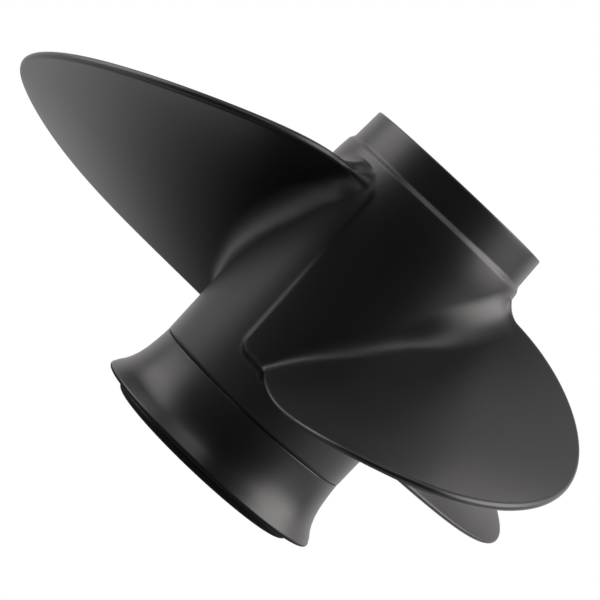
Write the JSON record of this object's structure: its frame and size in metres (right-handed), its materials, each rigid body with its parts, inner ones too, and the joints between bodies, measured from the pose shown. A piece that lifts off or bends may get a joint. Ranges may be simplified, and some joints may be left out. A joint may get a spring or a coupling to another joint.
{
  "type": "boat propeller",
  "caption": "Three-blade right-hand outboard propeller with through-hub exhaust, flared diffuser ring, rubber cush bush and splined drive sleeve.",
  "frame": {"origin": "on the shaft axis, in the plane of the hub's aft lip that the propeller stands on", "axes": "+Z along the shaft towards the gearcase (forward), -Y through the first blade's tip line, +X to the right of it seen from that side"},
  "size_m": [0.2118, 0.199, 0.107],
  "materials": {
    "black_paint": "satin black paint on cast aluminium",
    "black_rubber": "moulded rubber",
    "brass": "machined",
    "stainless": "machined stainless steel"
  },
  "bodies": {
    "shaft_side": {"spline_sleeve": "brass", "thrust_washer": "brass", "spline_spacer": "brass", "plain_washer": "stainless", "castle_nut": "stainless", "cotter_pin": "stainless"},
    "propeller": {"blade_casting": "black_paint", "diffuser_ring": "black_paint", "cush_bush": "black_rubber"}
  },
  "joints": [
    {"name": "cush_twist", "type": "hinge", "parent": "shaft_side", "child": "propeller", "pos_m": [0, 0, 0.059], "axis": [0, 0, 1], "range_deg": [-10, 10], "stiffness_Nm_per_rad": 250, "deforming": ["cush_bush"]}
  ]
}
